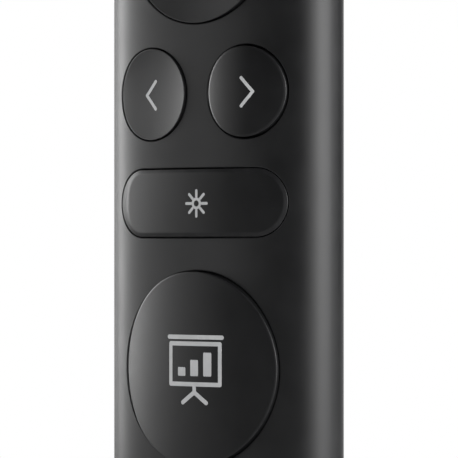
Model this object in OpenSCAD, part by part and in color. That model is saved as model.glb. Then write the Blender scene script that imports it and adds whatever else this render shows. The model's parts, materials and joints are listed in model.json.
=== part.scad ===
// Wireless presentation clicker: a slim hand-held remote with five front keys and one side button.
// It stands upright on its flat lower end. +Z runs up its length, the keys face -Y, +X is its right side,
// and the origin is the centre of the lower end. Millimetres.

/* [Body] */
// Width across the body
body_w = 29; // [28:0.5:33]
// Depth from front to back at the middle
body_d = 10.26; // [9.9:0.02:12]
// Overall length, from the flat lower end to the round top
body_l = 97; // [94:1:112]
// Roundness of the cross-section: 2 is an ellipse, larger is squarer
section_power = 2.8; // [2.5:0.1:3.6]
// Wall thickness of the housing and the back cover
wall = 1.2; // [1:0.05:1.4]
// Depth of solid front behind the front crown, down to the flat face that the keys stop on
front_web = 2.13; // [2:0.01:2.3]
// Corner radius of the lower end, seen from the front
end_corner_r = 9; // [7:0.5:10]
// How much of the rounded lower end is cut off flat to stand on
foot_cut = 1.5; // [1.2:0.1:1.8]

/* [Keys] */
// Diameter of the dished key at the top
mute_key_d = 19.75; // [18:0.25:20.5]
// Diameter of the two keys of the pair
nav_key_d = 9.54; // [8.5:0.02:10]
// Centre distance of the pair
nav_spacing = 12.84; // [12.4:0.02:13.4]
// Length of the bar key
pointer_key_l = 22.46; // [18:0.02:22.6]
// Height of the bar key
pointer_key_h = 7.04; // [6:0.02:7.4]
// Diameter of the large key
action_key_d = 20.72; // [18:0.02:21]
// Drop from the top key's centre to the pair's
mute_to_nav = 17.4; // [17:0.1:19]
// Drop from the pair's centre to the bar's
nav_to_pointer = 11.7; // [10.8:0.1:13]
// Drop from the bar's centre to the large key's
pointer_to_action = 17.64; // [16:0.02:19]
// Gap round the top key
mute_gap = 0.17; // [0.15:0.01:0.35]
// Gap round each key of the pair
nav_gap = 0.22; // [0.15:0.01:0.45]
// Gap round the bar key
pointer_gap = 0.18; // [0.15:0.01:0.4]
// Gap round the large key
action_gap = 0.15; // [0.15:0.01:0.35]
// Height of the key faces above the housing
key_proud = 0.15; // [0:0.05:0.2]
// Travel of the front keys
key_travel = 0.35; // [0.2:0.05:0.4]
// Depth of the dish in the top key
mute_dish = 1; // [0.85:0.05:1.1]
// Depth of the dish in the left key of the pair
previous_dish = 0.48; // [0.42:0.02:0.6]
// Height of the dome on the right key of the pair
next_crown = 0.5; // [0.3:0.05:0.6]
// Fall of that dome to its upper and lower edge
next_fall = 0.2; // [0.1:0.05:0.5]
// Height of the dome on the bar key
pointer_crown = 0.4; // [0.2:0.05:0.5]
// Fall of that dome to its upper and lower edge
pointer_fall = 0.12; // [0.08:0.02:0.3]
// Height of the dome on the large key
action_crown = 0.8; // [0.5:0.05:1]
// Fall of that dome to its upper and lower edge
action_fall = 0.25; // [0.15:0.05:0.8]
// Width of the flange that keeps a key in
flange_w = 0.6; // [0.5:0.05:0.7]
// Thickness of that flange
flange_t = 0.6; // [0.5:0.05:0.7]

/* [Power button] */
// Length of the side button
power_key_l = 7; // [6:0.1:8]
// Height of the side button, across its length
power_key_h = 1.8; // [1.4:0.1:2]
// Height of the button's face above the side
power_proud = 0.25; // [0.1:0.05:0.4]
// Travel of the side button
power_travel = 0.3; // [0.2:0.05:0.35]
// Gap round the side button
power_gap = 0.2; // [0.12:0.01:0.25]
// Height of the button's centre above the pair's centre
power_rise = 1; // [0:0.1:2]

/* [Board] */
// Distance of the main board's edge from the body's side
board_side = 3.4; // [3.3:0.1:3.7]
// Thickness of the main board
board_t = 0.8; // [0.6:0.1:1]
// Side of a square switch
switch_w = 4.4; // [3.6:0.1:5]
// Height of a square switch without its plunger
switch_h = 0.8; // [0.7:0.05:0.9]
// Radius of a switch's plunger
plunger_r = 1; // [0.7:0.05:1.3]
// How far a plunger stands out of its switch
plunger_out = 0.5; // [0.45:0.05:0.6]
// Height of the lying switch above the board
side_switch_h = 1.6; // [1.5:0.1:2]
// Radius of a screw's shank
screw_r = 0.6; // [0.5:0.05:0.7]
// Radius of a screw's head
screw_head_r = 1.2; // [1:0.05:1.3]
// Radius of a screw post
post_r = 1.4; // [1.2:0.05:1.6]
// Distance of the screws from the board's edge
screw_in = 1.4; // [1.3:0.1:1.6]

/* [Power supply] */
// Distance of the battery from the body's side
battery_side = 6.3; // [6.2:0.1:7.5]
// Height of the battery's lower edge above the lower end
battery_z = 14.5; // [13.5:0.5:18]
// Distance of the battery's upper edge below the bar key's centre
battery_drop = 0.9; // [0.9:0.1:6]
// Room behind the battery for its foam and for swelling
battery_room = 0.73; // [0.5:0.01:1.3]
// Width of the charging socket's shell
usb_w = 8.94; // [8.8:0.02:9.1]
// Height of the charging socket's shell
usb_h = 3.26; // [3.1:0.02:3.4]
// Length of the charging socket's shell
usb_l = 7.3; // [6.5:0.1:7.4]
// Radius of the vibration motor
motor_r = 4; // [3:0.5:4]
// Thickness of the vibration motor
motor_t = 2.7; // [2:0.1:2.7]

/* [Hidden] */
$fn = 64;

// Past a face, so that a cut goes right through it
over = 1;
// Clearance between pieces that fit together and stay still
fit = 0.1;
// Running clearance of a plunger in its switch, on the radius
run = 0.06;
// Points in each quarter of the cross-section
quarter = 14;

half_w = body_w / 2;
half_d = body_d / 2;
corner_x = half_w - end_corner_r;
corner_z = end_corner_r - foot_cut;

// Centres of the keys, from the round top downwards
top_z = body_l - half_w;
nav_z = top_z - mute_to_nav;
pointer_z = nav_z - nav_to_pointer;
action_z = pointer_z - pointer_to_action;
MUTE = 0;
PREVIOUS = 1;
NEXT = 2;
POINTER = 3;
ACTION = 4;
KEYS = [MUTE, PREVIOUS, NEXT, POINTER, ACTION];
key_at = [[0, top_z], [-nav_spacing / 2, nav_z], [nav_spacing / 2, nav_z], [0, pointer_z], [0, action_z]];
key_r = [mute_key_d, nav_key_d, nav_key_d, pointer_key_h, action_key_d] / 2;
key_span = [0, 0, 0, (pointer_key_l - pointer_key_h) / 2, 0];
key_gap = [mute_gap, nav_gap, nav_gap, pointer_gap, action_gap];
key_crown = [-mute_dish, -previous_dish, next_crown, pointer_crown, action_crown];
key_fall = [mute_dish, previous_dish, next_fall, pointer_fall, action_fall];
key_color = "#232426";
key_form_z = action_z - action_key_d;

// Behind a keycap: its rim, the hollow inside the rim, and the boss that presses the plunger
key_skin = 1.2;
key_hollow = 0.9;
key_post_r = 1.6;

// The stack from front to back, each face from the one before it
rest_gap = 0.1;
seat_y = front_web - half_d;
flange_y = seat_y + rest_gap;
press_y = flange_y + flange_t;
switch_y = press_y + plunger_out;
board_y = switch_y + switch_h;
board_back_y = board_y + board_t;
tape_t = 0.2;
battery_y = board_back_y + tape_t;
cover_in_y = half_d - wall;
battery_back_y = cover_in_y - battery_room;
foam_y = cover_in_y - 2 * fit;
foam_w = 9;
foam_in = 3;
battery_tape_in = 2;
battery_w = body_w - 2 * battery_side;
battery_top_z = pointer_z - battery_drop;
battery_l = battery_top_z - battery_z;
battery_mid = [0, battery_z + battery_l / 2];

// The back cover and its opening
cover_lip = 0.7;
cover_margin = 2.2;
cover_w = body_w - 2 * cover_margin;
cover_z = 3.4;
cover_corner_r = 6.5;
cover_deep = 2.13;
ledge_y = half_d - cover_deep;
hook_l = 5;
hook_t = 0.8;
hook_reach = 0.6;
hook_deep = 2;
hook_nose = 1;
hook_low_drop = 14;
hook_action_rise = 4;
hook_pointer_rise = 4.5;
hook_top_drop = 8;
hook_heights = [action_z - hook_low_drop, action_z + hook_action_rise, pointer_z + hook_pointer_rise,
    top_z - hook_top_drop];

// Screws: a pair at the lower end, one between the large key and the bar, one under the top key
board_w = body_w - 2 * board_side;
screw_x = board_w / 2 - screw_in;
end_screw_z = 10.8;
screw_rise = 9.4;
screw_drop = 9.2;
screw_heights = [end_screw_z, action_z + screw_rise, top_z - screw_drop];
screw_head_t = 0.5;
screw_slot_w = 0.3;
screw_slot_l = 1.4 * screw_r;
screw_hole_y = seat_y + 0.1;

// The side button
power_z = nav_z + power_rise;
power_y = board_back_y + side_switch_h / 2;
power_flange_x = half_w - wall - 0.55;
power_flange_t = 0.6;
side_switch_x = board_w / 2 - 0.2;
side_switch_deep = 2.6;
side_switch_l = 4.2;
side_plunger_r = 0.5;
side_plunger_in = 0.6;

// The lower end: socket, dock contacts and magnets
end_wall = 1.3;
usb_z = 0.4;
usb_gap = 0.2;
usb_skin = 0.3;
tongue_w = 6.7;
tongue_t = 0.7;
tongue_l = 5.2;
tab = [1.4, 0.3, 1.6];
tab_drop = 2;
contact_x = 3.2;
contact_z = 10.6;
contact_r = 1.1;
pad_y = cover_in_y - 0.5;
pad_sunk = 0.1;
pin_r = 0.75;
pin_tip_r = 0.4;
pin_tip_l = 0.9;
magnet_x = 7;
magnet_z = 7.6;
magnet_r = 2;
magnet_t = 1.3;
magnet_back_y = cover_in_y - 0.75;

// The status light
light_r = 0.6;
light_drop = 17.5;
light_z = action_z - light_drop;
led_t = 0.55;
led_size = [1, 1.6];

// Parts on the back of the board, each placed from the key or edge beside it
board_z = 3.4;
board_corner_r = 6.5;
chip_t = 0.9;
antenna_rise = 7.5;
antenna_at = [0, top_z + antenna_rise];
antenna_size = [7, 2];
antenna_t = 1;
motor_x = 2.6;
motor_drop = 5;
motor_at = [motor_x, nav_z - motor_drop];
motor_tape_in = 0.5;
shield_w = 11;
shield_t = 1.6;
shield_skin = 0.2;
shield_x = 0.6;
shield_drop = 5;
shield_at = [shield_x, top_z - shield_drop];
processor_w = 6;
connector_in = 1;
connector_rise = 3.4;
connector_at = [connector_in - battery_w / 2, battery_top_z + connector_rise];
connector_w = 3.6;
connector_l = 3;
connector_t = 1.5;
lead_r = 0.35;
lead_spacing = 1.3;
lead_lift = 0.75;
charger_w = 3;
charger_in = 2.9;
charger_drop = 1;
charger_at = [board_w / 2 - charger_in, nav_z - charger_drop];
passive_size = [1, 0.5];
passive_t = 0.5;
passive_pitch = 1.6;
passive_gap = 1.8;
passive_at = [
    for (step = [0, passive_pitch], side = [-1, 1])
        each [
            [charger_at[0] + step, charger_at[1] + side * (charger_w / 2 + passive_gap)],
            [shield_at[0] + side * (shield_w / 2 + passive_gap), shield_at[1] + step]
        ],
    for (step = [0, passive_pitch])
        [-side_switch_x + side_switch_deep + passive_gap, power_z + step]
];

// ---- Plain shapes ----

function bend(c, k) = sign(c) * pow(abs(c), k);

// Point of the rounded-square section that is half w wide and half d deep; its flats touch w and d exactly
function section_point(w, d, a) =
    let (k = 2 / section_power, reach = pow(cos(45 / quarter), k))
        [w * bend(cos(a), k), d * bend(sin(a), k)] / reach;

function section_arc(w, d, first, last) =
    [for (i = [first:last]) section_point(w, d, (i + 0.5) * 90 / quarter)];

// How far the front face falls back at distance x from the middle line
function section_fall(x) =
    half_d * (1 - pow(1 - pow(min(abs(x) / half_w, 1), section_power), 1 / section_power));

module along_y(y0, y1) {
    translate([0, y1, 0])
        rotate([90, 0, 0])
            linear_extrude(height = y1 - y0)
                children();
}

module along_x(x0, x1) {
    translate([x0, 0, 0])
        rotate([90, 0, 90])
            linear_extrude(height = x1 - x0)
                children();
}

module stadium(r, span) {
    if (span > 0) {
        for (side = [-1, 1])
            translate([side * span, 0])
                circle(r);
        square([2 * span, 2 * r], center = true);
    } else {
        circle(r);
    }
}

module pin_y(at, y0, y1, r) {
    along_y(y0, y1)
        translate(at)
            circle(r);
}

module block_y(at, y0, y1, size) {
    along_y(y0, y1)
        translate(at)
            square(size, center = true);
}

// The body's form above z0: straight up to top_z, then turned about the top key's axis
module tall_form(w, d, z0) {
    translate([0, 0, z0])
        linear_extrude(height = top_z - z0)
            polygon(section_arc(w, d, 0, 4 * quarter - 1));
    translate([0, 0, top_z])
        rotate([90, 0, 0])
            rotate_extrude(angle = 180)
                polygon(concat([[0, -d]], section_arc(w, d, -quarter, quarter - 1), [[0, d]]));
}

// The body's form with its lower end, whose rim and corners are rounded as the long sides are
module form(w, d) {
    low_z = corner_z + corner_x - w;
    full_z = low_z + w;
    tall_form(w, d, full_z);
    difference() {
        intersection() {
            translate([0, 0, low_z])
                linear_extrude(height = full_z - low_z)
                    polygon(section_arc(w, d, 0, 4 * quarter - 1));
            along_x(-w, w)
                translate([0, full_z])
                    rotate(90)
                        polygon(section_arc(w, d, 0, 4 * quarter - 1));
        }
        for (side = [-1, 1])
            translate([side * (corner_x + half_w / 2), 0, corner_z - half_w / 2])
                cube([half_w, body_w, half_w], center = true);
    }
    for (side = [0, 1])
        mirror([side, 0, 0])
            translate([corner_x, 0, corner_z])
                rotate([-90, 0, 0])
                    rotate_extrude(angle = 90)
                        translate([-corner_x, 0])
                            intersection() {
                                polygon(section_arc(w, d, 0, 4 * quarter - 1));
                                translate([corner_x, -half_w])
                                    square(body_w);
                            }
}

// Outline with two rounded lower corners, half w wide
module footed(w, z0, r, top) {
    translate([-w, z0 + r])
        square([2 * w, top - z0 - r]);
    translate([r - w, z0])
        square([2 * (w - r), r + over]);
    for (side = [-1, 1])
        translate([side * (w - r), z0 + r])
            circle(r);
}

// Everything of the children that is above height z
module above(z) {
    difference() {
        children();
        translate([-body_w, -body_w, z - body_w])
            cube([2 * body_w, 2 * body_w, body_w]);
    }
}

module outer_form() {
    above(0)
        form(half_w, half_d);
}

module inner_form() {
    above(end_wall)
        form(half_w - wall, half_d - wall);
}

// Opening or outline of the back cover, half w wide, from height z0
module cover_outline(w, z0, r) {
    footed(w, z0, r, top_z);
    translate([0, top_z])
        circle(w);
}

module key_outline(i, grow) {
    translate(key_at[i])
        stadium(key_r[i] + grow, key_span[i]);
}

// ---- Casing ----

module front_housing() {
    color("#2a2b2d")
        difference() {
            union() {
                difference() {
                    outer_form();
                    intersection() {
                        inner_form();
                        along_y(seat_y, half_d)
                            translate([-half_w, 0])
                                square([body_w, body_l]);
                    }
                }
                for (side = [-1, 1], z = screw_heights)
                    pin_y([side * screw_x, z], seat_y - fit, board_y, post_r);
            }
            along_y(ledge_y, half_d + over)
                cover_outline(cover_w / 2, cover_z, cover_corner_r);
            along_y(0, half_d)
                cover_outline(cover_w / 2 - cover_lip, cover_z + cover_lip, cover_corner_r - cover_lip);
            for (i = KEYS) {
                along_y(-half_d - over, seat_y + over / 2)
                    key_outline(i, key_gap[i]);
                along_y(seat_y, board_y - fit)
                    key_outline(i, flange_w + 2 * fit);
            }
            for (side = [-1, 1], z = screw_heights)
                pin_y([side * screw_x, z], screw_hole_y, board_y + over, screw_r + run / 2);
            pin_y([0, light_z], -half_d - over, board_y, light_r + fit);
            along_x(-half_w - over, -half_w + 2 * wall)
                power_outline(power_gap, 0);
            translate([0, 0, -over])
                linear_extrude(height = end_wall + 2 * over)
                    stadium(usb_h / 2 + usb_gap, (usb_w - usb_h) / 2);
        }
}

module hook(side, z) {
    tip_x = cover_w / 2 - cover_lip - fit;
    low_z = z - hook_l / 2;
    translate([side > 0 ? tip_x - hook_t : -tip_x, ledge_y - hook_deep, low_z])
        cube([hook_t, hook_deep + fit, hook_l]);
    translate([side > 0 ? tip_x - fit : -tip_x - hook_reach, ledge_y - hook_deep, low_z])
        cube([hook_reach + fit, hook_nose, hook_l]);
}

module back_cover() {
    color("#2a2b2d") {
        difference() {
            intersection() {
                outer_form();
                union() {
                    along_y(ledge_y + fit, half_d + over)
                        cover_outline(cover_w / 2 - fit, cover_z + fit, cover_corner_r);
                    along_y(0, half_d)
                        cover_outline(cover_w / 2 - cover_lip - fit, cover_z + cover_lip + fit,
                            cover_corner_r - cover_lip);
                }
            }
            inner_form();
            for (side = [-1, 1])
                pin_y([side * contact_x, contact_z], 0, half_d + over, contact_r + fit / 2);
        }
        for (side = [-1, 1], z = hook_heights)
            hook(side, z);
    }
}

// ---- Keys ----

// Radius of the arc that rises by rise over a half chord
function arc_r(half_chord, rise) = (half_chord * half_chord + rise * rise) / (2 * rise);

// Solid behind the origin whose face there bulges towards +Y, with one radius across and one along
module bulge(across_r, along_r, reach) {
    big_r = max(across_r, along_r);
    small_r = min(across_r, along_r);
    translate([0, -big_r, 0])
        rotate([0, along_r > across_r ? 90 : 0, 0])
            rotate_extrude($fn = 240)
                intersection() {
                    translate([big_r - small_r, 0])
                        circle(small_r, $fn = 240);
                    translate([0, -reach])
                        square([big_r, 2 * reach]);
                }
}

// The bulge that cuts a dish into key i, or that bounds its dome
module key_face(i) {
    half_l = key_r[i] + key_span[i];
    left_fall = section_fall(key_at[i][0] - half_l);
    right_fall = section_fall(key_at[i][0] + half_l);
    mid_fall = section_fall(key_at[i][0]);
    across_rise = (left_fall + right_fall) / 2 - mid_fall + key_crown[i];
    translate([key_at[i][0], mid_fall - half_d - key_proud - key_crown[i], key_at[i][1]])
        rotate([0, 0, atan2(right_fall - left_fall, 2 * half_l) + (key_crown[i] > 0 ? 180 : 0)])
            bulge(arc_r(half_l, abs(across_rise)), arc_r(key_r[i], key_fall[i]), half_l + over);
}

// One keycap: its rim follows the body, its face is dished or domed, and a flange keeps it in
module key_cap(i) {
    difference() {
        union() {
            if (key_crown[i] > 0) {
                intersection() {
                    key_face(i);
                    along_y(-body_d, flange_y + fit)
                        key_outline(i, 0);
                }
            } else {
                difference() {
                    intersection() {
                        tall_form(half_w + key_proud, half_d + key_proud, key_form_z);
                        along_y(-body_d, flange_y + fit)
                            key_outline(i, 0);
                    }
                    key_face(i);
                }
            }
            along_y(flange_y, press_y)
                key_outline(i, flange_w);
        }
        difference() {
            along_y(press_y - key_hollow, press_y + over)
                key_outline(i, -key_skin);
            pin_y(key_at[i], press_y - key_hollow - over, press_y, key_post_r);
        }
    }
}

module mute_key() {
    color(key_color)
        key_cap(MUTE);
}

module previous_key() {
    color(key_color)
        key_cap(PREVIOUS);
}

module next_key() {
    color(key_color)
        key_cap(NEXT);
}

module pointer_key() {
    color(key_color)
        key_cap(POINTER);
}

module action_key() {
    color(key_color)
        key_cap(ACTION);
}

module power_outline(grow, extra) {
    translate([power_y, power_z])
        rotate(90)
            stadium(power_key_h / 2 + grow, (power_key_l - power_key_h) / 2 + extra);
}

module power_button() {
    color(key_color) {
        along_x(-half_w - power_proud, -power_flange_x)
            power_outline(0, 0);
        along_x(-power_flange_x, -power_flange_x + power_flange_t)
            power_outline(0, flange_w);
    }
}

// ---- Switches ----

module key_switch(i) {
    color("#3b3d40")
        difference() {
            block_y(key_at[i], switch_y, board_y, [switch_w, switch_w]);
            pin_y(key_at[i], switch_y - over, board_y - fit, plunger_r + run);
        }
}

module key_plunger(i) {
    color("#d8d4c8")
        pin_y(key_at[i], press_y, board_y - fit - key_travel - fit, plunger_r);
}

module mute_switch() {
    key_switch(MUTE);
}

module previous_switch() {
    key_switch(PREVIOUS);
}

module next_switch() {
    key_switch(NEXT);
}

module pointer_switch() {
    key_switch(POINTER);
}

module action_switch() {
    key_switch(ACTION);
}

module mute_plunger() {
    key_plunger(MUTE);
}

module previous_plunger() {
    key_plunger(PREVIOUS);
}

module next_plunger() {
    key_plunger(NEXT);
}

module pointer_plunger() {
    key_plunger(POINTER);
}

module action_plunger() {
    key_plunger(ACTION);
}

module power_pin(x0, x1, r) {
    along_x(x0, x1)
        translate([power_y, power_z])
            circle(r);
}

module power_switch() {
    color("#3b3d40")
        difference() {
            translate([-side_switch_x, board_back_y, power_z - side_switch_l / 2])
                cube([side_switch_deep, side_switch_h, side_switch_l]);
            power_pin(-side_switch_x - over, -side_switch_x + side_plunger_in + power_travel + fit,
                side_plunger_r + run);
        }
}

module power_plunger() {
    color("#d8d4c8")
        power_pin(-power_flange_x + power_flange_t, -side_switch_x + side_plunger_in, side_plunger_r);
}

// ---- Board ----

module main_board() {
    color("#123a2b")
        difference() {
            along_y(board_y, board_back_y)
                cover_outline(board_w / 2, board_z, board_corner_r);
            block_y([0, board_z], board_y - over, board_back_y + over,
                [usb_w + 2 * fit, 2 * (usb_z + usb_l - board_z + fit)]);
            for (side = [-1, 1], z = screw_heights)
                pin_y([side * screw_x, z], board_y - over, board_back_y + over, screw_r + fit);
        }
}

module board_screws() {
    color("#9a9da1")
        for (side = [-1, 1], z = screw_heights)
            difference() {
                union() {
                    pin_y([side * screw_x, z], screw_hole_y + fit, board_back_y + fit, screw_r);
                    pin_y([side * screw_x, z], board_back_y, board_back_y + screw_head_t, screw_head_r);
                }
                for (slot = [[screw_slot_l, screw_slot_w], [screw_slot_w, screw_slot_l]])
                    block_y([side * screw_x, z], board_back_y + screw_head_t / 2, board_back_y + over, slot);
            }
}

module status_led() {
    color("#f2f2ee")
        block_y([0, light_z], board_y - led_t, board_y, led_size);
}

module status_light() {
    color("#dfe3e6")
        intersection() {
            tall_form(half_w, half_d, light_z - light_r);
            pin_y([0, light_z], -half_d, board_y - led_t - fit, light_r);
        }
}

module on_board(at, size, t) {
    block_y(at, board_back_y, board_back_y + t, size);
}

module radio_shield() {
    color("#b9bcc0")
        difference() {
            on_board(shield_at, [shield_w, shield_w], shield_t);
            block_y(shield_at, board_back_y - over, board_back_y + shield_t - shield_skin,
                [shield_w - 2 * shield_skin, shield_w - 2 * shield_skin]);
        }
}

module processor() {
    color("#1b1c1e")
        on_board(shield_at, [processor_w, processor_w], chip_t);
}

module antenna() {
    color("#e6e2d6")
        on_board(antenna_at, antenna_size, antenna_t);
}

module charger_chip() {
    color("#1b1c1e")
        on_board(charger_at, [charger_w, charger_w], chip_t);
}

module board_parts() {
    color("#b59c74")
        for (at = passive_at)
            on_board(at, passive_size, passive_t);
}

module haptic_motor() {
    color("#a9acb0")
        pin_y(motor_at, battery_y, battery_y + motor_t, motor_r);
}

module motor_tape() {
    color("#2b2f36")
        pin_y(motor_at, board_back_y, battery_y, motor_r - motor_tape_in);
}

// ---- Power supply ----

module battery() {
    color("#b4b8bb")
        block_y(battery_mid, battery_y, battery_back_y, [battery_w, battery_l]);
}

module battery_tape() {
    color("#f0efe9")
        block_y(battery_mid, board_back_y, battery_y,
            [battery_w - 2 * battery_tape_in, battery_l - 2 * battery_tape_in]);
}

module battery_foam() {
    color("#33353a")
        block_y(battery_mid, battery_back_y, foam_y, [foam_w, battery_l - 2 * foam_in]);
}

module battery_lead(side) {
    translate([connector_at[0] + side * lead_spacing / 2, board_back_y + lead_lift, battery_top_z])
        cylinder(r = lead_r, h = connector_at[1] - connector_l / 2 - battery_top_z);
}

module battery_lead_red() {
    color("#b3261e")
        battery_lead(-1);
}

module battery_lead_black() {
    color("#161616")
        battery_lead(1);
}

module battery_connector() {
    color("#ece7da")
        on_board(connector_at, [connector_w, connector_l], connector_t);
}

module usb_shell_outline(shrink) {
    stadium(usb_h / 2 - shrink, (usb_w - usb_h) / 2);
}

module usb_port() {
    color("#a9acb0") {
        difference() {
            translate([0, 0, usb_z])
                linear_extrude(height = usb_l)
                    usb_shell_outline(0);
            translate([0, 0, usb_z - over])
                linear_extrude(height = usb_l + over - usb_skin)
                    usb_shell_outline(usb_skin);
        }
        for (side = [-1, 1])
            translate([side * (usb_w / 2 + tab[0] / 2 - 2 * fit), board_back_y + tab[1] / 2,
                usb_z + usb_l - tab_drop])
                cube(tab, center = true);
    }
}

module usb_tongue() {
    color("#17181a")
        translate([-tongue_w / 2, -tongue_t / 2, usb_z + usb_l - usb_skin - tongue_l])
            cube([tongue_w, tongue_t, tongue_l]);
}

module charge_pads() {
    color("#c9a24a")
        for (side = [-1, 1])
            pin_y([side * contact_x, contact_z], pad_y, half_d - pad_sunk, contact_r);
}

module charge_pins() {
    color("#c9a24a")
        for (side = [-1, 1]) {
            pin_y([side * contact_x, contact_z], board_back_y, pad_y - pin_tip_l, pin_r);
            pin_y([side * contact_x, contact_z], pad_y - pin_tip_l - fit, pad_y, pin_tip_r);
        }
}

module dock_magnets() {
    color("#8d9094")
        for (side = [-1, 1])
            pin_y([side * magnet_x, magnet_z], magnet_back_y - magnet_t, magnet_back_y, magnet_r);
}

front_housing();
back_cover();
mute_key();
previous_key();
next_key();
pointer_key();
action_key();
power_button();
status_light();
status_led();
main_board();
board_screws();
mute_switch();
previous_switch();
next_switch();
pointer_switch();
action_switch();
power_switch();
mute_plunger();
previous_plunger();
next_plunger();
pointer_plunger();
action_plunger();
power_plunger();
usb_port();
usb_tongue();
battery();
battery_tape();
battery_foam();
battery_lead_red();
battery_lead_black();
battery_connector();
radio_shield();
processor();
antenna();
charger_chip();
board_parts();
haptic_motor();
motor_tape();
charge_pads();
charge_pins();
dock_magnets();
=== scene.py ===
"""Looks of a wireless presentation clicker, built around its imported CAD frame.

Shapes are worked out in millimetres, in the frame's own axes: keys face -Y, +X is the right side and +Z
runs up the body. They become metres when a mesh is made.
"""
import json
import math

import bpy
import numpy as np
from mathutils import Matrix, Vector, geometry


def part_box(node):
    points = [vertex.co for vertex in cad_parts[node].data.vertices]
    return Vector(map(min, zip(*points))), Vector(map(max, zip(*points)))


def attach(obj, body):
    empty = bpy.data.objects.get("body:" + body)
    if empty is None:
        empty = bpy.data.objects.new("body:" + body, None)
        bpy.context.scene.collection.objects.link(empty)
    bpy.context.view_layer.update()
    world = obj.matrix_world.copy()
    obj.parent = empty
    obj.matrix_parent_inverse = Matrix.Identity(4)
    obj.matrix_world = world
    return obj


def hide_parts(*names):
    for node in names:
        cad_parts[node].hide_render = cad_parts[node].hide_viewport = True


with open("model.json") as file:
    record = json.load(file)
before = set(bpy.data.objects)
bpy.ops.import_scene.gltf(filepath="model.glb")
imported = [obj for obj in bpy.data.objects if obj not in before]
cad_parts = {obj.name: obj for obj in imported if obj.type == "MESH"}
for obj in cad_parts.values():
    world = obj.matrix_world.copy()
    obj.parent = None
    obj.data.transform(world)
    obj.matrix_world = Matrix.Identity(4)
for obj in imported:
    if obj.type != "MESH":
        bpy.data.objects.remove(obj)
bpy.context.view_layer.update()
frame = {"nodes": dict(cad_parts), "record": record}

MM = 0.001
TINY = 1e-12

# ---- Sizes, in millimetres ----


def box_mm(node):
    low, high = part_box(node)
    return np.array(low) / MM, np.array(high) / MM


housing_low, housing_high = box_mm("front_housing")
HALF_W = housing_high[0]
HALF_D = -housing_low[1]
TOP_Z = housing_high[2] - HALF_W
SECTION_POWER = 2.8
END_CORNER_R = 9.0
FOOT_CUT = 1.5
CORNER_X = HALF_W - END_CORNER_R
CORNER_Z = END_CORNER_R - FOOT_CUT
FOOT_ROUND = 0.35
CREASE_ROUND = 4.0

WALL = 1.2
SEAT_Y = -3.0
LEDGE_Y = 3.0
COVER_W = 12.3
COVER_Z = 3.4
COVER_CORNER_R = 6.5
COVER_LIP = 0.7
LIP_W = COVER_W - COVER_LIP
FIT = 0.1
END_WALL = 1.3
OPENING_ROUND = 0.15
SLIVER = 0.02

FLANGE_W = 0.6
FLANGE_T = 0.6
FLANGE_Y = SEAT_Y + FIT
PRESS_Y = FLANGE_Y + FLANGE_T
KEY_SKIN = 1.2
KEY_HOLLOW = 0.9
KEY_POST_R = 1.6

USB_MOUTH = (8.94 / 2 + 0.2, 3.26 / 2 + 0.2)
POWER_GAP = 0.2
LIGHT_Z = 18.26
LIGHT_HOLE_R = 0.7
CONTACT_X = 3.2
CONTACT_Z = 10.6
CONTACT_HOLE_R = 1.15

power_low, power_high = box_mm("power_button")
POWER_Y, POWER_Z = (power_low[1:] + power_high[1:]) / 2
POWER_R = (power_high[1] - power_low[1]) / 2
POWER_SPAN = (power_high[2] - power_low[2]) / 2 - FLANGE_W - POWER_R


class Key:
    """One front key. Grow lets the CAD key's outline out, gap is the groove round it, and proud is how far
    its face stands out. Crown is its rise over the body's form, below zero for a dish, and along a dome's
    rise up the body. Rim is its bevel: width, angle, bend. Tilt raises its right end, and left makes the
    bevel that many times wider at its left end."""

    def __init__(self, name, grow, gap, proud, crown, rim, along=0.0, tilt=0.0, left=1.0):
        low, high = box_mm(name + "_key")
        half = (high - low) / 2 - FLANGE_W
        self.name = name
        self.x, self.z = (low[0] + high[0]) / 2, (low[2] + high[2]) / 2
        self.r = half[2] + grow
        self.span = half[0] - half[2]
        if self.span < FIT:
            self.span = 0
        self.gap, self.proud, self.crown, self.along = gap, proud, crown, along
        self.rim, self.tilt, self.left = rim, tilt, left


KEYS = [
    Key("mute", 0.08, 0.09, 0.18, crown=-1.0, rim=(0.1, 15, 0.06), tilt=0.4),
    Key("previous", 0.14, 0.08, 0.12, crown=-0.53, rim=(0.09, 15, 0.05), tilt=0.19),
    Key("next", 0.03, 0.19, 0.12, crown=0.5, rim=(0.25, 8, 0.2), along=0.12),
    Key("pointer", 0.08, 0.09, 0.2, crown=0.4, rim=(0.52, 17, 0.8), along=0.05, tilt=-0.1, left=3.0),
    Key("action", 0, 0.07, 0.14, crown=0.94, rim=(0.2, 12, 0.15), along=0.15, tilt=0.2),
]

# ---- The body's form ----

CREASE_SHARE = 0.9
SLOPE_STEP = 0.01


def section_depth(reach, half_w, half_d):
    """Half-depth of the section at a distance from the spine."""
    return half_d * (1 - np.clip(reach / half_w, 0, 1) ** SECTION_POWER) ** (1 / SECTION_POWER)


def plan_reach(x, z):
    """Which of the body's nested outlines a plan point lies on, as that outline's half-width."""
    side = np.abs(x) - CORNER_X
    end = CORNER_Z - z
    outside = np.hypot(np.maximum(side, 0), np.maximum(end, 0))
    blend = np.minimum(CREASE_SHARE * np.hypot(side, end), CREASE_ROUND)
    overlap = np.maximum(blend - np.abs(side - end), 0)
    inside = np.maximum(side, end) + overlap ** 2 / (4 * np.maximum(blend, 1e-9))
    low = CORNER_X + np.where((side > 0) | (end > 0), outside, inside)
    return np.where(z > TOP_Z, np.hypot(x, z - TOP_Z), low)


def flatten(z):
    """Heights with the foot pressed flat at zero, and the slope of that change."""
    near = (z + FOOT_ROUND) ** 2 / (4 * FOOT_ROUND)
    height = np.where(z < -FOOT_ROUND, 0, np.where(z > FOOT_ROUND, z, near))
    slope = np.clip((z + FOOT_ROUND) / (2 * FOOT_ROUND), 0, 1)
    return height, slope


def unit(vectors):
    return vectors / np.maximum(np.linalg.norm(vectors, axis=-1, keepdims=True), TINY)


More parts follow.
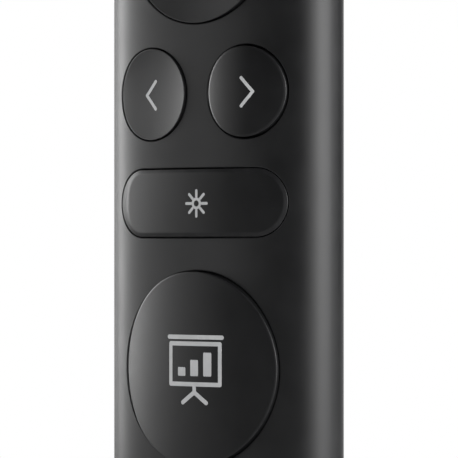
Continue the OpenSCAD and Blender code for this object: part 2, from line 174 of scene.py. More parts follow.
def slopes(height, x, z):
    """The slopes of a height function over a plan, along both of its axes."""
    step = SLOPE_STEP
    return ((height(x + step, z) - height(x - step, z)) / (2 * step),
            (height(x, z + step) - height(x, z - step)) / (2 * step))


def body_surface(x, z, side, depth=None, inset=0.0):
    """Points and normals of the body's form at plan points, on its front (side -1) or its back (side 1)."""
    x, z = np.asarray(x, float), np.asarray(z, float)
    half_w, half_d = HALF_W - inset, HALF_D - inset
    reach = plan_reach(x, z)
    slope_x, slope_z = slopes(plan_reach, x, z)
    y = section_depth(reach, half_w, half_d) if depth is None else np.asarray(depth, float)
    out = np.clip(reach / half_w, 0, 1) ** (SECTION_POWER - 1) / half_w
    back = np.clip(y / half_d, 0, 1) ** (SECTION_POWER - 1) / half_d
    height, flat = flatten(z) if not inset else (np.maximum(z, END_WALL), np.ones_like(z))
    normals = np.stack([slope_x * out * flat, side * back * flat, slope_z * out], axis=-1)
    return np.stack([x, side * y, height], axis=-1), unit(normals)


TOP_STEPS, SIDE_STEPS, CORNER_STEPS, BOTTOM_STEPS = 120, 72, 24, 16


def outline(half_w, corner_r, low_z):
    """Plan points of a closed outline with a round top and two rounded lower corners, anticlockwise."""
    arc = math.pi * np.arange(TOP_STEPS) / TOP_STEPS
    down = np.arange(SIDE_STEPS) / SIDE_STEPS
    turn = math.pi / 2 * np.arange(CORNER_STEPS) / CORNER_STEPS
    across = np.arange(BOTTOM_STEPS) / BOTTOM_STEPS
    corner_x, corner_z = half_w - corner_r, low_z + corner_r
    drop = corner_z - TOP_Z
    parts = [
        (half_w * np.cos(arc), TOP_Z + half_w * np.sin(arc)),
        (0 * down - half_w, TOP_Z + drop * down),
        (-corner_x - corner_r * np.cos(turn), corner_z - corner_r * np.sin(turn)),
        (-corner_x + 2 * corner_x * across, 0 * across + low_z),
        (corner_x + corner_r * np.sin(turn), corner_z - corner_r * np.cos(turn)),
        (0 * down + half_w, corner_z - drop * down),
    ]
    return [np.concatenate(axis) for axis in zip(*parts)]


def body_outline(reach):
    """The body's own nested outline of that half-width."""
    return outline(reach, reach - CORNER_X, HALF_W - FOOT_CUT - reach)


def cover_outline(half_w):
    """The outline of the back cover or of its opening."""
    grow = half_w - COVER_W
    return outline(half_w, COVER_CORNER_R + grow, COVER_Z - grow)


# ---- Meshes with their own normals ----

CLEAR_OF_EDGES = 0.55
MERGE, SIGN_MERGE = 1e-6, 1e-5


def loop_edges(loops):
    """The edges of closed loops whose points follow one another in one list."""
    edges, start = [], 0
    for loop in loops:
        edges += [(start + i, start + (i + 1) % len(loop)) for i in range(len(loop))]
        start += len(loop)
    return edges


def linked(name, data):
    """A new object in the scene."""
    piece = bpy.data.objects.new(name, data)
    bpy.context.scene.collection.objects.link(piece)
    return piece


class Skin:
    """A closed skin made of rings and patches, with a normal for every corner of every face."""

    def __init__(self):
        self.points, self.faces, self.normals, self.wear_and_highlight = [], [], [], {}

    # A point's share of the lighter edge colour stands for edge wear and is also a painted highlight along
    # rounded edges.
    def ring(self, points, wear_and_highlight=0.0):
        first = len(self.points)
        self.points.extend(np.asarray(points, float))
        numbers = list(range(first, len(self.points)))
        if wear_and_highlight:
            self.wear_and_highlight.update((n, wear_and_highlight) for n in numbers)
        return numbers

    def lay(self, place, flat_points):
        """A ring of 2-D points laid on a place."""
        return self.ring(place(*flat_points.T)[0])

    def face(self, numbers, normals, flat=False):
        """A face turned so that it looks the way its normals do; a flat one then keeps its own normal."""
        corners = [self.points[n] for n in numbers]
        across = np.cross(corners[1] - corners[0], corners[2] - corners[0])
        if len(corners) == 4:
            across = np.cross(corners[2] - corners[0], corners[3] - corners[1])
        if np.dot(across, sum(normals)) < 0:
            numbers, normals, across = numbers[::-1], normals[::-1], -across
        self.faces.append(list(numbers))
        self.normals.extend([unit(across)] * len(numbers) if flat else normals)

    def strip(self, first, second, first_normals, second_normals, flat=False, left_out=()):
        """A closed band of quads between two rings, but for those with a number in left_out."""
        count = len(first)
        a, b = [np.broadcast_to(normals, (count, 3)) for normals in (first_normals, second_normals)]
        for i in range(count):
            if i not in left_out:
                j = (i + 1) % count
                self.face([first[i], first[j], second[j], second[i]], [a[i], a[j], b[j], b[i]], flat)

    def bands(self, rings, windows=()):
        """Bands between neighbouring rings, but for the windows. A ring is (numbers, normals, points)."""
        for i, (a, b) in enumerate(zip(rings, rings[1:])):
            left_out = {j for window in windows if window.first <= i < window.last for j in window.stations}
            self.strip(a[0], b[0], a[1], b[1], left_out=left_out)

    def wall(self, last, place):
        """A band from a rim's last ring to its outline on another place. Returns the new loop."""
        numbers, normals, flat_points = last
        inside = self.lay(place, flat_points)
        self.strip(numbers, inside, normals, normals)
        return inside, flat_points

    def patch(self, loops, place, spacing, flat=False):
        """Fills the first loop, less the loops in it. A loop is (numbers, 2-D points), and place(u, v)
        gives points and normals."""
        known = np.concatenate([flat_points for _, flat_points in loops])
        numbers = [n for loop, _ in loops for n in loop]
        low, high = loops[0][1].min(0), loops[0][1].max(0)
        counts = np.maximum(np.ceil((high - low) / spacing).astype(int), 1)
        lines = [np.linspace(l, h, c + 1)[1:-1] for l, h, c in zip(low, high, counts)]
        grid = np.stack(np.meshgrid(*lines), -1).reshape(-1, 2)
        grid = grid[self.within(grid, loops)]
        nearest = np.min(np.linalg.norm(grid[:, None] - known[None], axis=2), axis=1)
        grid = grid[nearest > CLEAR_OF_EDGES * spacing]
        numbers = numbers + self.lay(place, grid)
        flat_points = np.concatenate([known, grid])
        edges = loop_edges([loop for loop, _ in loops])
        found = geometry.delaunay_2d_cdt([Vector(p) for p in flat_points], edges, [], 0, MERGE, True)
        source = [ids[0] for ids in found[3]]
        triangles = np.array([[source[i] for i in face] for face in found[2]])
        centres = flat_points[triangles].mean(1)
        _, normals = place(*flat_points.T)
        for triangle in triangles[self.within(centres, loops)]:
            self.face([numbers[i] for i in triangle], [normals[i] for i in triangle], flat)

    @staticmethod
    def within(points, loops):
        """Which 2-D points lie inside the first loop and outside the others."""
        def inside(corners):
            a, b = corners, np.roll(corners, -1, axis=0)
            x, y = points[:, None, 0], points[:, None, 1]
            rise = np.where(a[:, 1] == b[:, 1], TINY, b[:, 1] - a[:, 1])
            crosses = (a[:, 1] > y) != (b[:, 1] > y)
            left = x < (b[:, 0] - a[:, 0]) * (y - a[:, 1]) / rise + a[:, 0]
            return (np.sum(crosses & left, axis=1) % 2).astype(bool)

        result = inside(loops[0][1])
        for _, corners in loops[1:]:
            result &= ~inside(corners)
        return result

    def build(self, name, material, body, slot, replaced=()):
        """Makes the object, riding on its body."""
        mesh = bpy.data.meshes.new(name)
        mesh.from_pydata([Vector(p) * MM for p in self.points], [], self.faces)
        mesh.shade_smooth()
        mesh.normals_split_custom_set([Vector(n) for n in self.normals])
        # Each point's share of the lighter edge colour: edge wear, and a painted highlight on rounded edges.
        wear_and_highlight = mesh.attributes.new("wear_and_highlight", "FLOAT", "POINT")
        for number, amount in self.wear_and_highlight.items():
            wear_and_highlight.data[number].value = amount
        mesh.materials.append(material)
        piece = linked(name, mesh)
        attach(piece, body)
        if replaced:
            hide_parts(*replaced)


EDGE_STEPS = 5
RIM_EDGE_R = 0.07
SPAN_STEP = 0.6


def round_profile(r):
    """A rounded edge as steps: how far in from the edge, how deep, and the angle of its normal."""
    turns = math.pi / 2 * np.arange(2 * EDGE_STEPS + 1) / (2 * EDGE_STEPS)
    return [(r * (1 - math.sin(turn)), r * (1 - math.cos(turn)), turn) for turn in turns]


def bevel_profile(width, angle, bend_r):
    """A soft bevel as steps: it bends away from the face by the angle, runs straight, and turns down."""
    angle = math.radians(angle)
    straight = (width - bend_r * math.sin(angle) - RIM_EDGE_R * (1 - math.sin(angle))) / math.cos(angle)
    steps = [(width - bend_r * math.sin(turn), bend_r * (1 - math.cos(turn)), turn)
             for turn in angle * np.arange(EDGE_STEPS + 1) / EDGE_STEPS]
    inset = steps[-1][0] - straight * math.cos(angle)
    depth = steps[-1][1] + straight * math.sin(angle)
    for turn in angle + (math.pi / 2 - angle) * np.arange(EDGE_STEPS + 1) / EDGE_STEPS:
        down = depth + RIM_EDGE_R * (math.cos(angle) - math.cos(turn))
        steps.append((inset - RIM_EDGE_R * (math.sin(turn) - math.sin(angle)), down, turn))
    return steps


class Oval:
    """A circle, or a long shape with two round ends, in a plane: the loops that its offsets make."""

    def __init__(self, u, v, r, span, count, upright=False, steps=None):
        turn = np.pi * np.arange(count // 2) / (count // 2)
        if steps is None:
            steps = int(np.ceil(2 * span / SPAN_STEP))
        along = span - 2 * span * np.arange(steps) / max(steps, 1)
        right = np.stack([np.cos(turn - np.pi / 2), np.sin(turn - np.pi / 2)], -1)
        base = [np.tile([span, 0], (len(turn), 1)), np.stack([along, 0 * along], -1)]
        out = [right, np.tile([0, 1], (steps, 1))]
        base += [-b for b in base]
        out += [-o for o in out]
        self.base, self.out = np.concatenate(base).astype(float), np.concatenate(out).astype(float)
        if upright:
            self.base, self.out = self.base[:, ::-1] * [-1, 1], self.out[:, ::-1] * [-1, 1]
        self.base = self.base + [u, v]
        self.r = r

    def at(self, grow):
        return self.base + self.out * (self.r + grow)


def rounded_rim(skin, oval, grow, profile, place, into, outward, left=1.0):
    """Rings of a rounded or bevelled edge that leaves a surface and turns along into. The edge is at grow;
    outward is 1 where the face lies inside the oval, and -1 round an opening. At the left end the edge is
    left times as large. Returns the first ring as a loop for a patch, and the last ring."""
    rings = []
    larger = 1 + (left - 1) * np.clip(-oval.out[:, :1], 0, 1) ** 2
    for inset, depth, turn in profile:
        flat_points = oval.at(grow - outward * inset * larger)
        points, face_normals = place(*flat_points.T)
        sides = outward * unit(place.plane(oval.out))
        normals = unit(face_normals * math.cos(turn) + sides * math.sin(turn))
        # The rounding takes the lighter edge colour, most at the middle of its turn: edge wear, and a painted
        # rim highlight.
        numbers = skin.ring(points + into * depth * np.sqrt(larger), math.sin(2 * turn))
        rings.append((numbers, normals, flat_points))
    skin.bands(rings)
    return (rings[0][0], rings[0][2]), rings[-1]


class Place:
    """How 2-D points of a plane get their place in space: a height function over XZ, YZ or XY."""

    AXES = {"xz": (0, 2), "yz": (1, 2), "xy": (0, 1)}

    def __init__(self, plane_name, surface):
        self.axes = self.AXES[plane_name]
        self.surface = surface

    def __call__(self, u, v):
        return self.surface(u, v)

    def plane(self, vectors):
        result = np.zeros((len(vectors), 3))
        result[:, self.axes] = vectors
        return result


def level(plane_name, height, facing):
    """A flat Place at one height, facing along an axis."""
    place = Place(plane_name, None)
    axis = np.eye(3)[3 - sum(place.axes)]

    def surface(u, v):
        return place.plane(np.stack([u, v], -1)) + height * axis, np.tile(facing * axis, (len(u), 1))

    place.surface = surface
    return place


def onward(skin, numbers, plane_name, steps):
    """Bands from a ring to flat rings. A step is the ring's 2-D points, its height and the band's normals."""
    for flat_points, height, normals in steps:
        ring = skin.lay(level(plane_name, height, 1.0), flat_points)
        skin.strip(numbers, ring, normals, normals)
        numbers = ring
    return numbers


FRONT = np.array([0.0, -1.0, 0.0])
BACK = np.array([0.0, 1.0, 0.0])
RIGHT = np.array([1.0, 0.0, 0.0])
UP = np.array([0.0, 0.0, 1.0])

outer_front = Place("xz", lambda x, z: body_surface(x, z, -1))
outer_back = Place("xz", lambda x, z: body_surface(x, z, 1))
inner_back = Place("xz", lambda x, z: turned(body_surface(x, z, 1, inset=WALL)))


def turned(surface):
    """The same surface, facing the other way."""
    return surface[0], -surface[1]


def side_surface(y, z, inset=0.0):
    """The left side of the body as a height over the YZ plane."""
    half_w, half_d = HALF_W - inset, HALF_D - inset
    x = -section_depth(np.abs(y), half_d, half_w)
    back = np.sign(y) * (np.abs(y) / half_d) ** (SECTION_POWER - 1) / half_d
    out = (np.abs(x) / half_w) ** (SECTION_POWER - 1) / half_w
    return np.stack([x, y, z], -1), unit(np.stack([-out, back, 0 * y], -1))


left_side = Place("yz", side_surface)
left_inside = Place("yz", lambda y, z: turned(side_surface(y, z, WALL)))
foot = level("xy", 0.0, -1.0)
opening_edge = round_profile(OPENING_ROUND)

# ---- Casing ----

FRONT_REACH, BACK_REACH, INNER_REACH = 12.3, 12.9, 12.1
INNER_START = LIP_W + 0.15
FRONT_RINGS, BACK_RINGS, INNER_RINGS, BACK_STEPS = 15, 13, 14, 8
PLATE_SPACING, SIDE_SPACING, WINDOW_SPACING, COVER_SPACING, INSIDE_SPACING = 0.75, 0.6, 0.8, 0.9, 1.5
KEY_SEGMENTS, MOUTH_SEGMENTS, HOLE_SEGMENTS, POST_SEGMENTS, LIGHT_SEGMENTS = 128, 64, 48, 40, 32
LEFT_STATIONS = range(TOP_STEPS, TOP_STEPS + SIDE_STEPS)
FOOT_START = TOP_STEPS + SIDE_STEPS + CORNER_STEPS
FOOT_STATIONS = range(FOOT_START, FOOT_START + BOTTOM_STEPS)
FOOT_WINDOW_Y = 2.3
INNER_WINDOW_Y = FOOT_WINDOW_Y - 0.3
POWER_REACH_Y, POWER_REACH_Z = POWER_R + 0.6, POWER_SPAN + POWER_R + 1
POST_R, SCREW_HOLE_R, SCREW_X = 1.4, 0.65, 9.7
SCREW_HEIGHTS = (10.8, 45.16, 73.3)
BOARD_Y = -1.0


def section_angle(reach, inset=0.0):
    return math.acos((reach / (HALF_W - inset)) ** (SECTION_POWER / 2))


def section_ring(skin, angle, inset=0.0):
    """A ring of the body's form round its outline, at an angle of the section: 0 is the side."""
    reach = (HALF_W - inset) * math.cos(angle) ** (2 / SECTION_POWER)
    depth = (HALF_D - inset) * abs(math.sin(angle)) ** (2 / SECTION_POWER)
    x, z = body_outline(reach)
    points, normals = body_surface(x, z, -1 if angle < 0 else 1, np.full(len(x), depth), inset)
    return skin.ring(points), -normals if inset else normals, points


class Window:
    """A rectangle of quads left out of a grid of rings, which a patch with an opening fills."""

    def __init__(self, rings, low_y, high_y, stations):
        depths = [points[0, 1] for *_, points in rings]
        below = [i for i, y in enumerate(depths) if y < low_y]
        above = [i for i, y in enumerate(depths) if y > high_y]
        nearest = max(below, key=lambda i: depths[i]), min(above, key=lambda i: depths[i])
        self.first, self.last = sorted(nearest)
        self.rings, self.stations = rings, stations

    def loop(self, axes):
        start, end = self.stations.start, self.stations.stop
        path = [(self.first, j) for j in self.stations]
        path += [(i, end) for i in range(self.first, self.last)]
        path += [(self.last, j) for j in range(end, start, -1)]
        path += [(i, start) for i in range(self.last, self.first, -1)]
        numbers = [self.rings[i][0][j] for i, j in path]
        return numbers, np.array([self.rings[i][2][j][axes] for i, j in path])


def power_window(rings):
    """The window in the left side that takes the power button's opening."""
    inside = [i for i in LEFT_STATIONS if abs(rings[0][2][i, 2] - POWER_Z) < POWER_REACH_Z]
    return Window(rings, POWER_Y - POWER_REACH_Y, POWER_Y + POWER_REACH_Y, range(inside[0], inside[-1]))


def front_housing():
    """The tub: a front plate with the key openings, the sides, and a ledge for the back cover."""
    skin = Skin()
    angles = np.linspace(-section_angle(FRONT_REACH), 0, FRONT_RINGS)
    angles = np.concatenate([angles, np.linspace(0, section_angle(BACK_REACH), BACK_RINGS)[1:]])
    rings = [section_ring(skin, angle) for angle in angles]
    side, end = power_window(rings), Window(rings, -FOOT_WINDOW_Y, FOOT_WINDOW_Y, FOOT_STATIONS)
    skin.bands(rings, [side, end])

    power = Oval(POWER_Y, POWER_Z, POWER_R, POWER_SPAN, HOLE_SEGMENTS, upright=True)
    edge, last = rounded_rim(skin, power, POWER_GAP, opening_edge, left_side, RIGHT, -1)
    skin.patch([side.loop([1, 2]), edge], left_side, SIDE_SPACING)
    power_in = skin.wall(last, left_inside)

    mouth = Oval(0, 0, USB_MOUTH[1], USB_MOUTH[0] - USB_MOUTH[1], MOUTH_SEGMENTS)
    edge, last = rounded_rim(skin, mouth, 0, opening_edge, foot, UP, -1)
    skin.patch([end.loop([0, 1]), edge], foot, WINDOW_SPACING, flat=True)
    end_inside = level("xy", END_WALL, 1.0)
    mouth_in = skin.wall(last, end_inside)

    loops, wells = [(rings[0][0], rings[0][2][:, [0, 2]])], []
    openings = [(Oval(key.x, key.z, key.r, key.span, KEY_SEGMENTS), key.gap) for key in KEYS]
    openings.append((Oval(0, LIGHT_Z, LIGHT_HOLE_R, 0, LIGHT_SEGMENTS), 0))
    seat = level("xz", SEAT_Y, 1.0)
    for oval, gap in openings:
        edge, last = rounded_rim(skin, oval, gap, opening_edge, outer_front, BACK, -1)
        loops.append(edge)
        wells.append(skin.wall(last, seat))
    skin.patch(loops, outer_front, PLATE_SPACING)

    last_numbers = cover_opening(skin, rings[-1])
    angles = np.linspace(section_angle(INNER_START, WALL), -section_angle(INNER_REACH, WALL), INNER_RINGS)
    inner = [section_ring(skin, angle, WALL) for angle in angles]
    lip_normals = inner_back(*cover_outline(LIP_W))[1]
    skin.strip(last_numbers, inner[0][0], lip_normals, inner[0][1])
    inner_side = power_window(inner)
    inner_end = Window(inner, -INNER_WINDOW_Y, INNER_WINDOW_Y, FOOT_STATIONS)
    skin.bands(inner, [inner_side, inner_end])
    skin.patch([inner_side.loop([1, 2]), power_in], left_inside, WINDOW_SPACING)
    skin.patch([inner_end.loop([0, 1]), mouth_in], end_inside, WINDOW_SPACING, flat=True)
    plan = np.maximum(np.stack(body_outline(INNER_REACH), -1), [-INNER_REACH, END_WALL])
    front_edge = skin.lay(seat, plan)
    skin.strip(inner[-1][0], front_edge, inner[-1][1], inner[-1][1], flat=True)
    skin.patch([(front_edge, plan)] + wells, seat, INSIDE_SPACING, flat=True)
    for side_x in (-SCREW_X, SCREW_X):
        for post_z in SCREW_HEIGHTS:
            add_post(skin, side_x, post_z)
    return skin


def cover_edge(skin, half_w, r, outward, turns):
    """Rings of a rounded edge of the cover (outward 1) or of its opening (outward -1), and the way inward."""
    (x, z), (inner_x, inner_z) = cover_outline(half_w), cover_outline(half_w - 1)
    inward = unit(np.stack([inner_x - x, 0 * x, inner_z - z], -1))
    rings = []
    for turn in turns:
        plan = cover_outline(half_w - outward * r * (1 - math.sin(turn)))
        points, normals = outer_back(*plan)
        normals = unit(normals * math.cos(turn) - outward * inward * math.sin(turn))
        # The cover's rounded edge takes the lighter edge colour, most at the middle of its turn: edge wear,
        # and a painted rim highlight.
        numbers = skin.ring(points + FRONT * r * (1 - math.cos(turn)), math.sin(2 * turn))
        rings.append((numbers, normals, np.stack(plan, -1)))
    return rings, inward


def lip_steps(skin, last_numbers, steps):
    """Flat bands round the cover. A step is the outline's half-width, its depth (None: the inner form's) and
    the way that the band faces."""
    for half_w, depth, hint in steps:
        x, z = cover_outline(half_w)
        y = inner_back(x, z)[0][:, 1]
        if depth is not None:
            y = np.maximum(depth, y + SLIVER)
        numbers = skin.ring(np.stack([x, y, z], -1))
        skin.strip(last_numbers, numbers, hint, hint, flat=True)
        last_numbers = numbers
    return last_numbers


def cover_opening(skin, last_ring):
    """The back, from the last ring of the sides to the cover's opening and down to its lip."""
    rings = [last_ring]
    start, end = body_outline(BACK_REACH), cover_outline(COVER_W + OPENING_ROUND)
    for share in np.arange(1, BACK_STEPS + 1) / BACK_STEPS:
        points, normals = outer_back(*[a + (b - a) * share for a, b in zip(start, end)])
        rings.append((skin.ring(points), normals, points))
    edge, inward = cover_edge(skin, COVER_W, OPENING_ROUND, -1, math.pi / 8 * np.arange(1, 5))
    skin.bands(rings + edge)
    steps = [(COVER_W, LEDGE_Y, inward), (LIP_W, LEDGE_Y, BACK), (LIP_W, None, inward)]
    return lip_steps(skin, edge[-1][0], steps)


def add_post(skin, x, z):
    """A tube on the inside of the front, which the board rests on and a screw bites into."""
    outside, bore = [Oval(x, z, r, 0, POST_SEGMENTS) for r in (POST_R, SCREW_HOLE_R)]
    steps = [(outside, SEAT_Y), (outside, BOARD_Y), (bore, BOARD_Y), (bore, SEAT_Y)]
    rings = [skin.lay(level("xz", y, 1.0), oval.at(0)) for oval, y in steps]
    sides = outer_front.plane(outside.out)
    for (a, b), normals in zip(zip(rings, rings[1:] + rings[:1]), (sides, BACK, -sides, FRONT)):
        skin.strip(a, b, normals, normals)


# ---- Back cover ----

COVER_ROUND = 0.15
HOOK_HEIGHTS = (21.8, 39.8, 57.9, 74.5)
HOOK_L, HOOK_T, HOOK_REACH, HOOK_DEEP, HOOK_NOSE = 5.0, 0.8, 0.6, 2.0, 1.0


def back_cover():
    skin = Skin()
    half_w = COVER_W - FIT
    lip = half_w - COVER_LIP
    rings, inward = cover_edge(skin, half_w, COVER_ROUND, 1, math.pi / 10 * np.arange(6))
    skin.bands(rings)
    outer_loops, inner_holes = [(rings[0][0], rings[0][2])], []
    for side in (-1, 1):
        hole = Oval(side * CONTACT_X, CONTACT_Z, CONTACT_HOLE_R, 0, HOLE_SEGMENTS)
        edge, last = rounded_rim(skin, hole, 0, opening_edge, outer_back, FRONT, -1)
        outer_loops.append(edge)
        inner_holes.append(skin.wall(last, inner_back))
    skin.patch(outer_loops, outer_back, COVER_SPACING)
    deep = LEDGE_Y + FIT
    steps = [(half_w, deep, -inward), (lip, deep, FRONT), (lip, None, -inward)]
    inner_edge = lip_steps(skin, rings[-1][0], steps), np.stack(cover_outline(lip), -1)
    skin.patch([inner_edge] + inner_holes, inner_back, INSIDE_SPACING)
    for side in (-1, 1):
        for z in HOOK_HEIGHTS:
            add_hook(skin, side, z, lip)
    return skin


def add_hook(skin, side, z, tip_x):
    """One snap hook on the cover's lip, as an L-shaped bar."""
    back, deep = LEDGE_Y + FIT, LEDGE_Y - HOOK_DEEP
    profile = np.array([
        (tip_x - HOOK_T, deep), (tip_x + HOOK_REACH, deep), (tip_x + HOOK_REACH, deep + HOOK_NOSE),
        (tip_x, deep + HOOK_NOSE), (tip_x, back), (tip_x - HOOK_T, back),
    ])
    ends = [skin.ring([(side * x, y, z + end * HOOK_L / 2) for x, y in profile]) for end in (-1, 1)]
    for end, numbers in zip((-1, 1), ends):
        for quad in ((0, 1, 2, 3), (0, 3, 4, 5)):
            skin.face([numbers[i] for i in quad], [end * UP] * 4, flat=True)
    run, rise = (np.roll(profile, -1, axis=0) - profile).T
    outward = np.stack([side * rise, -run, 0 * run], -1)
    skin.strip(*ends, outward, outward, flat=True)


# ---- Keys ----


def arc_fall(distance, half_chord, rise):
    """How far an arc that rises by rise over a half chord has fallen at a distance from its top."""
    r = (half_chord ** 2 + rise ** 2) / (2 * rise)
    return r - np.sqrt(np.maximum(r ** 2 - distance ** 2, 0))


def dish_depth(key, x, z):
    """A dish that follows the body's form: a little proud at the rim and hollow in the middle."""
    along, up = x - key.x, z - key.z
    hollow = 1 - (along ** 2 + up ** 2) / key.r ** 2
    form = section_depth(plan_reach(x, z), HALF_W, HALF_D) + key.proud
    return form + key.crown * hollow + key.tilt * along / key.r


def dome_depth(key, x, z):
    """A dome with one arc across and one along, on a chord from the body at its left end to its right."""
    half_l = key.r + key.span
    left, middle, right = section_depth(np.abs(key.x + np.array([-half_l, 0, half_l])), HALF_W, HALF_D)
    across = arc_fall(np.abs(x - key.x), half_l, middle - (left + right) / 2 + key.crown)
    along = arc_fall(np.abs(z - key.z), key.r, key.along)
    chord = ((right - left) / 2 + key.tilt) / half_l * (x - key.x)
    return middle + key.proud + key.crown - across - along + chord


def key_place(key):
    """The key's face."""
    def depth(x, z):
        return dome_depth(key, x, z) if key.crown > 0 else dish_depth(key, x, z)

    def surface(x, z):
        slope_x, slope_z = slopes(depth, x, z)
        return np.stack([x, -depth(x, z), z], -1), unit(np.stack([-slope_x, -np.ones(len(x)), -slope_z], -1))

    return Place("xz", surface)


KEY_SPACING = 0.5


def keycap(key):
    """A keycap with a rounded rim, a flange that holds it in and a hollow back with a boss for its switch."""
    skin, place, oval = Skin(), key_place(key), Oval(key.x, key.z, key.r, key.span, KEY_SEGMENTS)
    edge, (numbers, sides, _) = rounded_rim(skin, oval, 0, bevel_profile(*key.rim), place, BACK, 1, key.left)
    skin.patch([edge], place, KEY_SPACING)
    flange, hollow, floor_y = oval.at(FLANGE_W), oval.at(-KEY_SKIN), PRESS_Y - KEY_HOLLOW
    hollow_edge = onward(skin, numbers, "xz", [
        (oval.at(0), FLANGE_Y, sides), (flange, FLANGE_Y, FRONT), (flange, PRESS_Y, sides),
        (hollow, PRESS_Y, BACK), (hollow, floor_y, -sides),
    ])
    boss = Oval(key.x, key.z, KEY_POST_R, 0, HOLE_SEGMENTS)
    floor, top = level("xz", floor_y, 1.0), level("xz", PRESS_Y, 1.0)
    foot_ring, top_ring = skin.lay(floor, boss.at(0)), skin.lay(top, boss.at(0))
    boss_sides = place.plane(boss.out)
    skin.strip(foot_ring, top_ring, boss_sides, boss_sides)
    skin.patch([(hollow_edge, hollow), (foot_ring, boss.at(0))], floor, INSIDE_SPACING, flat=True)
    skin.patch([(top_ring, boss.at(0))], top, INSIDE_SPACING, flat=True)
    return skin


POWER_ROUND, POWER_FLANGE_T, POWER_STEPS = 0.22, 0.6, 10


def power_cap():
    """The side button: a short rounded bar that slides in from the left, on a flange."""
    skin = Skin()
    cap, flange = [Oval(POWER_Y, POWER_Z, POWER_R, span, HOLE_SEGMENTS, upright=True, steps=POWER_STEPS)
                   for span in (POWER_SPAN, POWER_SPAN + FLANGE_W)]
    face, back_x = level("yz", power_low[0], -1.0), power_high[0]
    edge, (numbers, sides, _) = rounded_rim(skin, cap, 0, round_profile(POWER_ROUND), face, RIGHT, 1)
    skin.patch([edge], face, SIDE_SPACING)
    flange_x = back_x - POWER_FLANGE_T
    back_edge = onward(skin, numbers, "yz", [
        (cap.at(0), flange_x, sides), (flange.at(0), flange_x, -RIGHT), (flange.at(0), back_x, sides),
    ])
    skin.patch([(back_edge, flange.at(0))], level("yz", back_x, 1.0), INSIDE_SPACING, flat=True)
    return skin


# ---- Printed signs ----

INK_LIFT, INK_SUNK, INK_PITCH = 0.012, 0.03, 0.3
CAP_STEPS, HOOP_STEPS, ARC_STEPS = 10, 48, 16


def stroke(x0, z0, x1, z1, width):
    """The outline of a straight stroke with round ends."""
    r = width / 2
    angle = math.atan2(z1 - z0, x1 - x0)
    turn = np.linspace(-math.pi / 2, math.pi / 2, CAP_STEPS + 1)
    steps = max(int(math.hypot(x1 - x0, z1 - z0) / INK_PITCH), 1)
    along = np.arange(1, steps)[:, None] / steps
    first = np.stack([x0 - r * np.cos(angle + turn), z0 - r * np.sin(angle + turn)], -1)
    last = np.stack([x1 + r * np.cos(angle + turn), z1 + r * np.sin(angle + turn)], -1)
    sides = [a + (b - a) * along for a, b in ((last[-1], first[0]), (first[-1], last[0]))]
    return [np.concatenate([last, sides[0], first, sides[1]])]


def hoop(r, width):
    """The outline of a round hoop and of the hole in it."""
    turn = 2 * np.pi * np.arange(HOOP_STEPS) / HOOP_STEPS
    around = np.stack([np.cos(turn), np.sin(turn)], -1)
    return [around * (r + width / 2), around * (r - width / 2)]


def strokes(paths, width):
    """Strokes along paths of points."""
    return [stroke(*a, *b, width) for path in paths for a, b in zip(path, path[1:])]


def arc_points(x, z, r, first, last):
    """Points along an arc between two angles in degrees."""
    turn = np.radians(np.linspace(first, last, ARC_STEPS + 1))
    return [(x + r * math.cos(t), z + r * math.sin(t)) for t in turn]


def sign(key, shapes):
    """A thin printed plate on a key's face, which covers the union of the shapes."""
    place, skin = key_place(key), Skin()
    loops = [loop for shape in shapes for loop in shape]
    flat_points = [Vector(p) for p in np.concatenate(loops) + [key.x, key.z]]
    found = geometry.delaunay_2d_cdt(flat_points, loop_edges(loops), [], 0, SIGN_MERGE, False)
    corners = np.array(found[0])
    triangles = np.array([list(face) for face in found[2] if len(face) == 3])
    centres = corners[triangles].mean(1) - [key.x, key.z]
    inked = np.zeros(len(triangles), bool)
    for shape in shapes:
        inked |= Skin.within(centres, [(None, loop) for loop in shape])
    triangles = triangles[inked]
    used, triangles = np.unique(triangles, return_inverse=True)
    triangles = triangles.reshape(-1, 3)
    corners = corners[used]
    points, normals = place(*corners.T)
    top, bottom = skin.ring(points + normals * INK_LIFT), skin.ring(points - normals * INK_SUNK)
    sides, counts = {}, {}
    for triangle in triangles:
        skin.face([top[i] for i in triangle], [normals[i] for i in triangle])
        skin.face([bottom[i] for i in triangle], [-normals[i] for i in triangle])
        for a, b in zip(triangle, np.roll(triangle, -1)):
            edge = tuple(sorted((a, b)))
            sides[edge] = (a, b, triangle)
            counts[edge] = counts.get(edge, 0) + 1
    for edge, (a, b, triangle) in sides.items():
        if counts[edge] == 1:
            middle = (points[a] + points[b]) / 2
            out = middle - points[triangle].mean(0)
            skin.face([top[a], top[b], bottom[b], bottom[a]], [out] * 4, flat=True)
    return skin


CHEVRON_W, CHEVRON_H, CHEVRON_STROKE = 1.4, 2.97, 0.35
SUN_X, SUN_R, SUN_STROKE, RAY_INNER, RAY_OUTER, RAYS = 0.4, 0.48, 0.3, 0.75, 1.36, 8
SIGN_DROP = 0.06
BIG_X, BIG_STROKE, MICROPHONE_STROKE = 0.5, 0.46, 0.4
COLUMN_W, COLUMN_FOOT, COLUMN_PITCH, COLUMN_STROKE = 0.75, -0.55, 0.25, 0.3


def chevron(side, shift):
    """A chevron that points to one side."""
    tip, end = side * CHEVRON_W / 2, -side * CHEVRON_W / 2
    path = [(end, CHEVRON_H / 2), (tip, 0), (end, -CHEVRON_H / 2)]
    return moved(strokes([path], CHEVRON_STROKE), side * shift)


def sun():
    rays = []
    for turn in 2 * math.pi / RAYS * np.arange(RAYS):
        x, z = math.cos(turn), math.sin(turn)
        rays.append(stroke(RAY_INNER * x, RAY_INNER * z, RAY_OUTER * x, RAY_OUTER * z, SUN_STROKE))
    return moved([hoop(SUN_R, SUN_STROKE)] + rays, SUN_X)


def moved(shapes, x):
    """The same shapes, further to the right and a little lower."""
    return [[loop + [x, -SIGN_DROP] for loop in shape] for shape in shapes]


